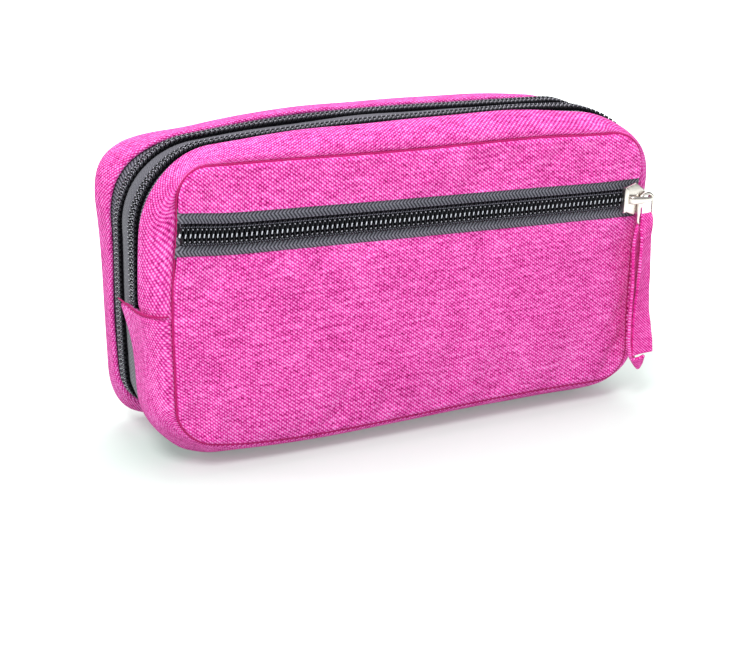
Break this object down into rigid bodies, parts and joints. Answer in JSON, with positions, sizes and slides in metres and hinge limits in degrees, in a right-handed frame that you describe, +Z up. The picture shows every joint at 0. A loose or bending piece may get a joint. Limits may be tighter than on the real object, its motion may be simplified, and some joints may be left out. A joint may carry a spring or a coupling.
{
  "type": "insulin cooling case",
  "caption": "Soft zipped cooling case standing on its long side: front flap with a zipped pocket, divider with pen loops, insulated rear shell with a gel pack.",
  "frame": {"origin": "on the floor below the middle of the case, at the centre of its flat base", "axes": "+Z up, -Y out of the front panel, +X towards the end where the pocket slider is parked"},
  "size_m": [0.202, 0.0747, 0.116],
  "materials": {
    "pink_cloth": "two-tone woven polyester over thin foam, matt",
    "zip_tape": "herringbone polyester tape, matt",
    "zip_coil": "nylon coil, slight sheen",
    "slider_metal": "satin nickel plated die casting",
    "lining": "plain woven lining over board",
    "net": "knitted net",
    "elastic": "ribbed woven elastic",
    "foam": "closed cell foam sheet",
    "foil": "metallised film, crinkled",
    "gel": "clear film over tinted gel"
  },
  "bodies": {
    "core": {"base_gusset": "pink_cloth", "base_strip": "pink_cloth", "front_panel_lower": "pink_cloth", "divider_board": "lining", "divider_band": "zip_tape", "front_zip_core_teeth": "zip_coil", "rear_zip_core_teeth": "zip_coil", "net_pocket": "net", "net_pocket_binding": "elastic", "pen_elastic_left": "elastic", "pen_elastic_right": "elastic"},
    "front_flap": {"front_gusset": "pink_cloth", "pocket_panel": "pink_cloth", "pocket_top_panel": "pink_cloth", "pocket_tape_upper": "zip_tape", "pocket_tape_lower": "zip_tape", "pocket_teeth_upper": "zip_coil", "pocket_teeth_lower": "zip_coil", "pocket_zip_stop": "slider_metal", "pocket_liner": "lining", "front_zip_flap_tape": "zip_tape", "front_zip_flap_teeth": "zip_coil"},
    "rear_shell": {"rear_panel": "pink_cloth", "rear_gusset": "pink_cloth", "rear_insulation_board": "foam", "rear_insulation_band": "foam", "foil_liner": "foil", "gel_pack": "gel", "gel_sleeve": "net", "rear_zip_shell_tape": "zip_tape", "rear_zip_shell_teeth": "zip_coil"},
    "pocket_slider": {"pocket_slider_body": "slider_metal"},
    "pocket_ring": {"pocket_ring": "slider_metal"},
    "pocket_strap": {"pocket_strap": "pink_cloth"},
    "front_slider": {"front_slider_body": "slider_metal"},
    "front_pull": {"front_slider_ring": "slider_metal", "front_slider_strap": "pink_cloth"},
    "rear_slider": {"rear_slider_body": "slider_metal"},
    "rear_pull": {"rear_slider_ring": "slider_metal", "rear_slider_strap": "pink_cloth"}
  },
  "joints": [
    {"name": "front_flap", "type": "hinge", "parent": "core", "child": "front_flap", "pos_m": [0, -0.0333, 0.0586], "axis": [1, 0, 0], "range_deg": [0, 60]},
    {"name": "rear_shell", "type": "hinge", "parent": "core", "child": "rear_shell", "pos_m": [0, 0.0334, 0], "axis": [-1, 0, 0], "range_deg": [0, 90]},
    {"name": "pocket_slider", "type": "slide", "parent": "front_flap", "child": "pocket_slider", "axis": [-0.9998, 0, 0.0218], "range_m": [0, 0.165], "deforming": ["pocket_teeth_upper", "pocket_teeth_lower"]},
    {"name": "pocket_ring", "type": "hinge", "parent": "pocket_slider", "child": "pocket_ring", "pos_m": [0.0893, -0.0356, 0.0785], "axis": [0, 0, -1], "range_deg": [0, 45]},
    {"name": "pocket_strap", "type": "hinge", "parent": "pocket_ring", "child": "pocket_strap", "pos_m": [0.0924, -0.0356, 0.07277], "axis": [1, 0, 0], "range_deg": [-75, 0]},
    {"name": "front_slider", "type": "slide", "parent": "core", "child": "front_slider", "axis": [0, 0, 1], "range_m": [0, 0.011], "deforming": ["front_zip_core_teeth", "front_zip_flap_teeth"]},
    {"name": "front_pull", "type": "hinge", "parent": "front_slider", "child": "front_pull", "pos_m": [0.1009, -0.012, 0.0634], "axis": [0, -1, 0], "range_deg": [0, 150]},
    {"name": "rear_slider", "type": "slide", "parent": "core", "child": "rear_slider", "axis": [0, 0, 1], "range_m": [0, 0.03], "deforming": ["rear_zip_core_teeth", "rear_zip_shell_teeth"]},
    {"name": "rear_pull", "type": "hinge", "parent": "rear_slider", "child": "rear_pull", "pos_m": [0.1009, 0.0055, 0.042], "axis": [0, -1, 0], "range_deg": [0, 150]}
  ],
  "couplings": [
    {"joint": "pocket_strap", "follows": "front_flap", "ratio": -1}
  ]
}
